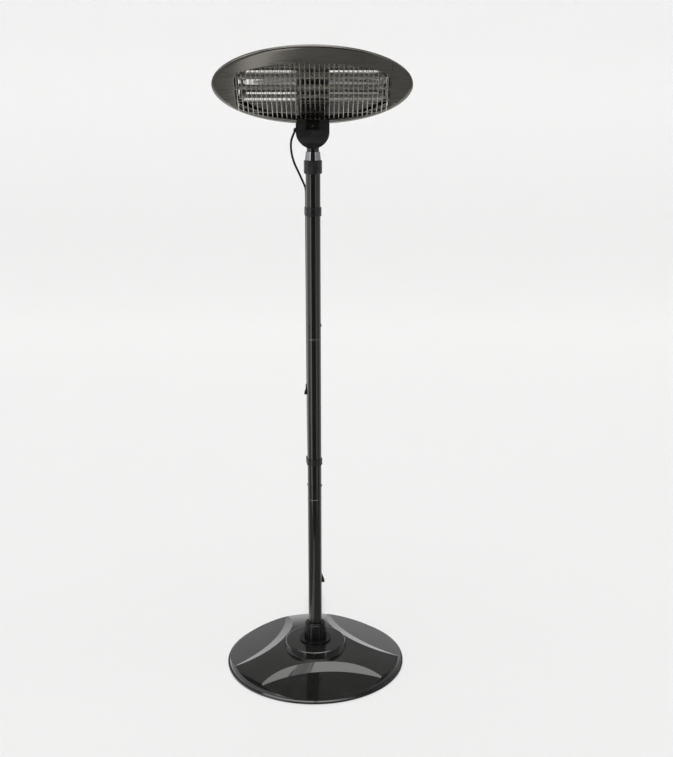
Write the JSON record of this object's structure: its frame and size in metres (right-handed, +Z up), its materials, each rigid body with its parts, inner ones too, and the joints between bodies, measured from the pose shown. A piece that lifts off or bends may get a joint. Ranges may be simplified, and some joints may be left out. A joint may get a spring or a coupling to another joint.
{
  "type": "patio heater",
  "caption": "Free-standing infrared patio heater with a weighted round base, a telescoping glossy black pole and a tilting oval head with quartz tubes behind a wire guard.",
  "frame": {"origin": "on the floor, on the pole's axis, under the middle of the base", "axes": "+Z up the pole, -Y towards the front the head faces, +X to the right seen from the front"},
  "size_m": [0.5, 0.7857, 1.6896],
  "materials": {
    "gloss_black": "high gloss black",
    "chrome": "polished",
    "dark_chrome": "dark polished nickel",
    "black_plastic": "fine satin",
    "gloss_plastic": "gloss",
    "rubber": "matte",
    "cord_rubber": "satin sheath",
    "cast_iron": "as cast",
    "steel": "zinc plated",
    "mirror": "mirror polished",
    "quartz": "frosted quartz",
    "coil": "resistance wire",
    "ceramic": "matte",
    "black_metal": "satin black",
    "guard_wire": "bright plated wire",
    "brass": "plain"
  },
  "bodies": {
    "stand": {"base_cover": "gloss_black", "plate_screws": "steel", "base_bolts": "steel", "base_plate": "black_metal", "rubber_feet": "rubber", "base_weight": "cast_iron", "pole_foot": "steel", "socket_collar": "black_plastic", "socket_liner": "gloss_plastic", "lower_pole": "gloss_black", "middle_pole": "gloss_black", "upper_pole": "gloss_black", "lower_joint_screws": "black_metal", "upper_joint_screws": "black_metal", "clip_screws": "black_metal", "cord_ring_upper": "black_plastic", "cord_ring_lower": "black_plastic", "cord_clip_left": "black_plastic", "cord_clip_right": "black_plastic", "collet": "black_plastic", "cord_run": "cord_rubber", "cord_hank": "cord_rubber", "hank_tie": "black_plastic", "plug": "cord_rubber", "plug_pins": "brass"},
    "lock": {"lock_collar": "black_plastic", "lock_cap": "chrome"},
    "mast": {"inner_pole": "gloss_black", "glide_bush": "black_plastic", "knuckle_front": "black_plastic", "knuckle_rear": "black_plastic", "knuckle_screws": "steel", "pivot_bolt": "steel", "pivot_nut": "steel", "cord_grommet": "cord_rubber", "cord_loop": "cord_rubber"},
    "head": {"tilt_lug": "black_metal", "foot_screws": "steel", "lug_screw": "steel", "bezel": "dark_chrome", "rear_housing": "black_metal", "housing_screws": "steel", "reflector": "mirror", "heat_shield": "steel", "quartz_tube_1": "quartz", "quartz_tube_2": "quartz", "quartz_tube_3": "quartz", "heating_coils": "coil", "tube_end_caps": "ceramic", "tube_holders": "black_metal", "guard_rim": "black_metal", "wire_guard": "guard_wire", "terminal_block": "ceramic", "lead_wires": "cord_rubber"}
  },
  "joints": [
    {"name": "mast_slide", "type": "slide", "parent": "stand", "child": "mast", "axis": [0, 0, 1], "range_m": [0, 0.32]},
    {"name": "head_tilt", "type": "hinge", "parent": "mast", "child": "head", "pos_m": [0, 0, 1.482], "axis": [1, 0, 0], "range_deg": [-45, 0]},
    {"name": "collar_twist", "type": "hinge", "parent": "stand", "child": "lock", "pos_m": [0, 0, 1.393], "axis": [0, 0, 1], "range_deg": [0, 90]}
  ]
}
